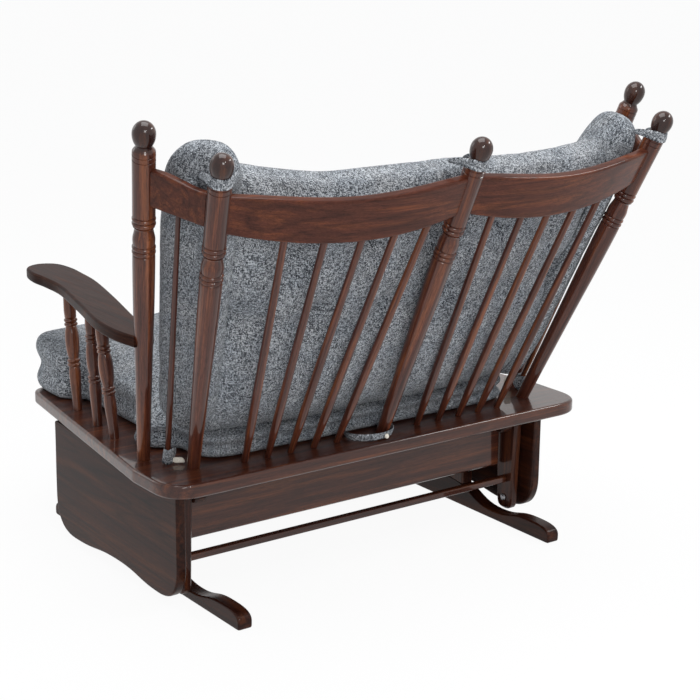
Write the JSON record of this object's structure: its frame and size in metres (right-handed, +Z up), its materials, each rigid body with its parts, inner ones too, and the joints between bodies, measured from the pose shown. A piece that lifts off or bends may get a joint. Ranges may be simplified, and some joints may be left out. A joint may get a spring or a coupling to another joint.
{
  "type": "glider bench",
  "caption": "Wooden glider bench with turned posts, a winged spindle back, arms on turned spindles and grey tufted cushions, hung from a standing base by swing arms.",
  "frame": {"origin": "On the floor, under the middle of the bench's box.", "axes": "+X to the sitter's left, -Y to the front, where the sitter faces, +Z up."},
  "size_m": [1.373, 1.1968, 1.1151],
  "materials": {
    "wood": "dark brown stain with a glossy clear coat",
    "steel": "plain bolt steel",
    "fabric": "grey heathered tweed"
  },
  "bodies": {
    "base": {"left_foot": "wood", "right_foot": "wood", "left_upright": "wood", "right_upright": "wood", "left_top_rail": "wood", "right_top_rail": "wood", "rear_apron": "wood", "front_apron": "wood", "left_rear_upper_bolt": "steel", "right_rear_upper_bolt": "steel", "left_front_upper_bolt": "steel", "right_front_upper_bolt": "steel"},
    "rear_swing": {"left_rear_swing_arm": "wood", "right_rear_swing_arm": "wood", "rear_stretcher_bar": "wood"},
    "front_swing": {"left_front_swing_arm": "wood", "right_front_swing_arm": "wood", "front_stretcher_bar": "wood"},
    "seat": {"seat_board": "wood", "left_side_panel": "wood", "right_side_panel": "wood", "left_rear_lower_bolt": "steel", "right_rear_lower_bolt": "steel", "left_front_lower_bolt": "steel", "right_front_lower_bolt": "steel", "middle_post": "wood", "left_corner_post": "wood", "left_wing_post": "wood", "left_crest_rail": "wood", "left_wing_rail": "wood", "left_back_spindle_1": "wood", "left_back_spindle_2": "wood", "left_back_spindle_3": "wood", "left_back_spindle_4": "wood", "left_back_spindle_5": "wood", "left_wing_spindle": "wood", "right_corner_post": "wood", "right_wing_post": "wood", "right_crest_rail": "wood", "right_wing_rail": "wood", "right_back_spindle_1": "wood", "right_back_spindle_2": "wood", "right_back_spindle_3": "wood", "right_back_spindle_4": "wood", "right_back_spindle_5": "wood", "right_wing_spindle": "wood", "left_arm": "wood", "left_arm_spindle_1": "wood", "left_arm_spindle_2": "wood", "left_arm_spindle_3": "wood", "right_arm": "wood", "right_arm_spindle_1": "wood", "right_arm_spindle_2": "wood", "right_arm_spindle_3": "wood", "seat_cushion": "fabric", "back_cushion": "fabric", "left_wing_pad": "fabric", "right_wing_pad": "fabric"}
  },
  "joints": [
    {"name": "rear_swing_hinge", "type": "hinge", "parent": "base", "child": "rear_swing", "pos_m": [0, 0.14926, 0.266], "axis": [1, 0, 0], "range_deg": [-15, 15]},
    {"name": "front_swing_hinge", "type": "hinge", "parent": "base", "child": "front_swing", "pos_m": [0, -0.29674, 0.266], "axis": [1, 0, 0], "range_deg": [-15, 15]},
    {"name": "seat_hinge", "type": "hinge", "parent": "rear_swing", "child": "seat", "pos_m": [0, 0.14926, 0.051], "axis": [1, 0, 0], "range_deg": [-15, 15]}
  ],
  "couplings": [
    {"joint": "front_swing_hinge", "follows": "rear_swing_hinge", "ratio": 1},
    {"joint": "seat_hinge", "follows": "rear_swing_hinge", "ratio": -1}
  ]
}
